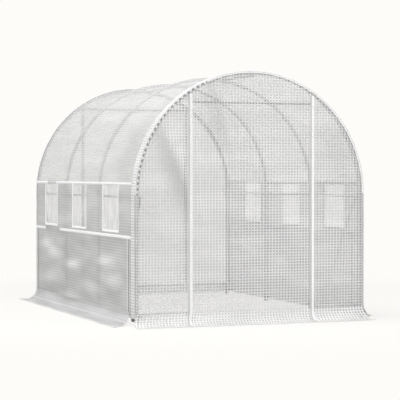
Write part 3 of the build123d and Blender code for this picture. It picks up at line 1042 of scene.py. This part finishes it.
def webbing_shadow_line(side):
    """A darker strip painted as the shadow line just under the upper webbing."""
    node = f"upper_webbing_{side}"
    top = along_cover(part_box(node)[0].z) - EDGING_DROP

    def place(y, a, lift):
        return sewn(side, top + a, y, lift)

    for number, span in enumerate(runs(node, 1), 1):
        sew(f"webbing_shadow_line_{side}_{number}", node, stops(span, STEP), NARROW, place, "edging")


def panel_seams(side):
    """The seams down both ends of the lower side panel, dark as painted shadow, each with the hem beside it.
    """
    top = along_cover(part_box(f"lower_webbing_{side}")[0].z)
    route = stops([SKIRT_TOP, top], STEP)
    node, back = f"side_cover_{side}", HALF - SEAM_FROM_BACK

    def down(y):
        return lambda t, a, lift: sewn(side, t, y + a, lift)

    def ground(s, a, lift):
        return skirt_point((SIDES[side], 0), s, back + HEM_SHIFT + a, ON_SKIRT + lift)

    for word, y in (("front", sizes().flap - HALF + SEAM_FROM_FLAP), ("back", back)):
        sew(f"panel_seam_{side}_{word}", node, route, NARROW, down(y), "stitching")
        sew(f"panel_hem_{side}_{word}", node, route, PANEL_HEM, down(y + HEM_SHIFT), "hem", HEM_SWELL)
    out = stops([0.0, SKIRT_LENGTH], FINE_STEP)
    sew(f"skirt_end_hem_{side}", f"side_skirt_{side}", out, PANEL_HEM, ground, "hem", HEM_SWELL)


def side_hem(side):
    """The hems at the front and the outer edge of a side skirt, and the seam that joins it on."""
    sign, width, node = SIDES[side], sizes().hem, f"side_skirt_{side}"

    def front(s, a, lift):
        return skirt_point((sign, 0), s, skirt_front(sign, s) + width / 2 + a, ON_SKIRT + lift)

    def outer(y, a, lift):
        return skirt_point((sign, 0), SKIRT_LENGTH - width / 2 + a, y, ON_SKIRT + lift)

    def joint(y, a, lift):
        return skirt_point((sign, 0), SKIRT_JOINT + a, y, ON_SKIRT + lift)

    out = stops([0.0, SKIRT_LENGTH], FINE_STEP)
    sew(f"skirt_front_hem_{side}", node, out, width, front, "hem", HEM_SWELL)
    long = stops([skirt_front(sign, SKIRT_LENGTH) + 0.002, HALF], STEP)
    sew(f"skirt_outer_hem_{side}", node, long, width, outer, "hem", HEM_SWELL)
    bend = stops([skirt_front(sign, SKIRT_JOINT) + 0.006, HALF], STEP)
    sew(f"skirt_joint_{side}", node, bend, NARROW, joint, "hem", SEAM_SWELL)


def end_hem(end, word):
    """The hems along the outer edges of the skirts at an end."""
    width = sizes().hem

    def edge(x, a, lift):
        return skirt_point((0, end), SKIRT_LENGTH - width / 2 + a, x, ON_SKIRT + lift)

    for part, span in (DOOR_END_SPANS if end < 0 else {"back": BACK_SPAN}).items():
        sew(f"end_hem_{part}", f"{word}_skirt", stops(span, STEP), width, edge, "hem", SEAM_SWELL)


def corner_seam(end, word):
    """The stitching of an edge band on both sides of its corner, up the legs and over the arch. At the door
    end,
    shade is painted on it: dark on the legs, and dark dots on the left of the arch.
    """

    def beside(t, a, lift):
        return cover_point(t, end * (HALF - COVER_INSET[on_arch(t)]) + a, ON_BAND + lift)

    def facing(t, a, lift):
        point = girth_point(t, 0.0, a - END_INSET[on_arch(t)])
        point.y = end * (END_MID + ON_BAND + lift)
        return point

    far_spring, far_foot = GIRTH - SPRING, GIRTH - SKIRT_TOP
    # The painted shade on the arch's facing stitching ends short of the ridge.
    shade_ends_at = GIRTH / 2 - DARK_STITCHING
    for part, start, stop, width, place, kind in (
        ("left_leg", SKIRT_TOP, SPRING, 0.014, beside, "stitching"),
        ("arch", SPRING, far_spring, 0.015, beside, "worn_corner"),
        ("right_leg", far_spring, far_foot, 0.014, beside, "stitching"),
        ("facing_arch_left", SPRING, shade_ends_at, NARROW, facing, "corner"),
        ("facing_arch_right", shade_ends_at, far_spring, NARROW, facing, "worn_corner"),
        ("facing_leg", far_spring, far_foot, NARROW, facing, "edging"),
    ):
        name, route = f"{word}_corner_seam_{part}", stops([start, stop], STEP)
        sew(name, f"{word}_edge_band", route, width, place, kind if end < 0 else "worn_corner")


class TUNNEL_OT_trims(bpy.types.Operator):
    """Sew the webbing along the sides, the tape round the windows and the hems"""

    bl_idname = "tunnel.trims"
    bl_label = "Webbing, tapes and hems"

    def execute(self, context):
        for side in SIDES:
            webbing(side, "upper")
            webbing(side, "lower")
            window_tapes(side)
            webbing_shadow_line(side)
            panel_seams(side)
            side_hem(side)
        for end, word in ((-1, "front"), (1, "back")):
            end_hem(end, word)
            corner_seam(end, word)
        return {"FINISHED"}


def zip_teeth(name, length, place):
    """Moulded teeth that interlock along the middle of the tape."""
    vertices, faces = [], []
    step = sizes().tooth / 2
    half_width, half_length = 0.0026, 0.42 * step
    foot, crown, taper, offset = 0.0006, 0.0022, 0.7, 0.0011
    for i in range(int(length / step) - 2):
        distance = (i + 1) * step
        lean = offset if i % 2 else -offset
        first = len(vertices)
        for lift, shrink in ((foot, 1.0), (crown, taper)):
            for a, b in ((-1, -1), (1, -1), (1, 1), (-1, 1)):
                along = distance + b * half_length * shrink
                vertices.append(place(along, lean + a * half_width * shrink, lift))
        faces += [tuple(first + k for k in corners) for corners in (
            (3, 2, 1, 0), (4, 5, 6, 7), (0, 1, 5, 4), (1, 2, 6, 5), (2, 3, 7, 6), (3, 0, 4, 7)
        )]
    piece = place_piece(name, vertices, faces, [(v.x, v.z) for v in vertices], finish("zip"))
    piece.data.polygons.foreach_set("use_smooth", [False] * len(piece.data.polygons))
    return piece


def door_zip(side, sign):
    """A zip beside the door: its tape, its edging of painted shadow and its teeth, down the wall and out over
    the skirt.
    """
    drop = ZIP_TOP - SKIRT_TOP
    route = stops([0.0, drop, drop + BEND * math.pi / 2, drop + SKIRT_LENGTH], BAND_STEP)
    node = f"door_zip_{side}"

    def place(distance, across, lift):
        x = sign * DOOR_HALF + across
        if distance < drop:
            return Vector((x, -(END_MID + ON_FILM + lift), ZIP_TOP - distance))
        return skirt_point((0, -1), distance - drop, x, ON_FILM + lift)

    def beside(distance, across, lift):
        return place(distance, across - ZIP_WIDTH / 2 - EDGING_DROP, lift)

    tape = strip(f"zip_tape_{side}", route, ZIP_WIDTH, place, "zip")
    stand_in(tape, node)
    sew(f"zip_edge_{side}", node, route, NARROW, beside, "edging")
    teeth = zip_teeth(f"zip_teeth_{side}", route[-1], place)


class TUNNEL_OT_zips(bpy.types.Operator):
    """Fit the two door zips, down the end panel and out over the skirt"""

    bl_idname = "tunnel.zips"
    bl_label = "Door zips"

    def execute(self, context):
        for side, sign in SIDES.items():
            door_zip(side, sign)
        return {"FINISHED"}


def stage_floor():
    """A round floor that glows like the backdrop, and takes the soft shadow close to the tunnel."""
    corners, far, level = 64, 60.0, -0.0005
    turns = [2 * math.pi * i / corners for i in range(corners)]
    vertices = [(0.0, 0.0, level)] + [(far * math.cos(a), far * math.sin(a), level) for a in turns]
    mesh = bpy.data.meshes.new("floor")
    mesh.from_pydata(vertices, [], [(0, i + 1, (i + 1) % corners + 1) for i in range(corners)])
    floor = bpy.data.objects.new("floor", mesh)
    bpy.context.scene.collection.objects.link(floor)
    made = Finish("studio_floor")
    made.shader.inputs["Base Color"].default_value = (0.9, 0.89, 0.87, 1.0)
    made.shader.inputs["Roughness"].default_value = 0.9
    made.shader.inputs["Specular IOR Level"].default_value = 0.0
    glow = made.add("ShaderNodeEmission")
    glow.inputs["Color"].default_value = (*colours().studio, 1.0)
    glow.inputs["Strength"].default_value = 1.0
    away = made.add("ShaderNodeVectorMath", operation="LENGTH")
    made.feed(away.inputs[0], made.add("ShaderNodeNewGeometry").outputs["Position"])
    share = made.math("MULTIPLY", made.spread(away.outputs["Value"], 2.0, 5.0, 0.8, 1.0), made.seen())
    made.show(made.blend(share, made.shader.outputs[0], glow.outputs[0]))
    mesh.materials.append(made.material)


def stage_world():
    """An even light all round, with the studio's colour behind."""
    world = bpy.data.worlds.new("studio")
    bpy.context.scene.world = world
    world.use_nodes = True
    made = Nodes(world.node_tree)
    light = made.tree.nodes["Background"]
    light.inputs["Color"].default_value = (0.95, 0.97, 1.0, 1.0)
    light.inputs["Strength"].default_value = 0.4
    backdrop = made.add("ShaderNodeBackground")
    backdrop.inputs["Color"].default_value = (*colours().studio, 1.0)
    both = made.blend(made.seen(), light.outputs[0], backdrop.outputs[0])
    made.feed(made.tree.nodes["World Output"].inputs["Surface"], both)


def stage_lamps():
    """Round lamps that face the middle of the tunnel."""
    aim = Vector((0.0, 0.0, RIDGE / 2))
    for name, spot, size, power in (
        ("top", Vector((-1.6, -1.2, 7.4)), 3.5, 345.0),
        ("key", Vector((4.5, -8.2, 4.2)), 3.0, 297.0),
        ("fill", Vector((-8.0, -2.0, 3.6)), 3.5, 130.0),
        ("rim", Vector((-5.5, 8.5, 2.6)), 2.0, 90.0),
    ):
        lamp = bpy.data.lights.new(name, "AREA")
        lamp.shape = "DISK"
        lamp.size = size
        lamp.energy = power
        holder = bpy.data.objects.new(name, lamp)
        holder.location = spot
        holder.rotation_euler = (aim - spot).to_track_quat("-Z", "Y").to_euler()
        bpy.context.scene.collection.objects.link(holder)


def stage_camera():
    """A long lens that sees the door end and the left side."""
    lens = bpy.data.cameras.new("camera")
    lens.sensor_width = 36.0
    lens.lens = 138.79
    camera = bpy.data.objects.new("camera", lens)
    camera.location = (-4.8916, -12.988, 1.2131)
    tilt, turn = -0.997, -21.094
    camera.rotation_euler = (math.radians(90.0 + tilt), 0.0, math.radians(turn))
    bpy.context.scene.collection.objects.link(camera)
    bpy.context.scene.camera = camera


class TUNNEL_OT_stage(bpy.types.Operator):
    """Set up the floor, the lamps and the camera"""

    bl_idname = "tunnel.stage"
    bl_label = "Studio"

    def execute(self, context):
        stage_floor()
        stage_world()
        stage_lamps()
        stage_camera()
        context.scene.view_settings.view_transform = "Standard"
        context.scene.cycles.transparent_max_bounces = 48
        return {"FINISHED"}


OPERATORS = (
    TUNNEL_OT_frame,
    TUNNEL_OT_roof,
    TUNNEL_OT_sides,
    TUNNEL_OT_ends,
    TUNNEL_OT_skirts,
    TUNNEL_OT_bands,
    TUNNEL_OT_screens,
    TUNNEL_OT_trims,
    TUNNEL_OT_zips,
    TUNNEL_OT_stage,
)


class TUNNEL_PT_build(bpy.types.Panel):
    """Lists the tunnel's pieces in the order they are built"""

    bl_label = "Polytunnel"
    bl_idname = "TUNNEL_PT_build"
    bl_space_type = "VIEW_3D"
    bl_region_type = "UI"
    bl_category = "Polytunnel"

    def draw(self, context):
        for operator in OPERATORS:
            self.layout.operator(operator.bl_idname, text=operator.bl_label)
        for group in (context.scene.tunnel_sizes, context.scene.tunnel_colours):
            for name in group.__annotations__:
                self.layout.prop(group, name)


CLASSES = (TunnelSizes, TunnelColours, *OPERATORS, TUNNEL_PT_build)


def register():
    for cls in CLASSES:
        bpy.utils.register_class(cls)
    bpy.types.Scene.tunnel_sizes = bpy.props.PointerProperty(type=TunnelSizes)
    bpy.types.Scene.tunnel_colours = bpy.props.PointerProperty(type=TunnelColours)


def unregister():
    del bpy.types.Scene.tunnel_colours
    del bpy.types.Scene.tunnel_sizes
    for cls in reversed(CLASSES):
        bpy.utils.unregister_class(cls)


def main():
    register()
    for operator in OPERATORS:
        group, name = operator.bl_idname.split(".")
        getattr(getattr(bpy.ops, group), name)()


if __name__ == "__main__":
    main()
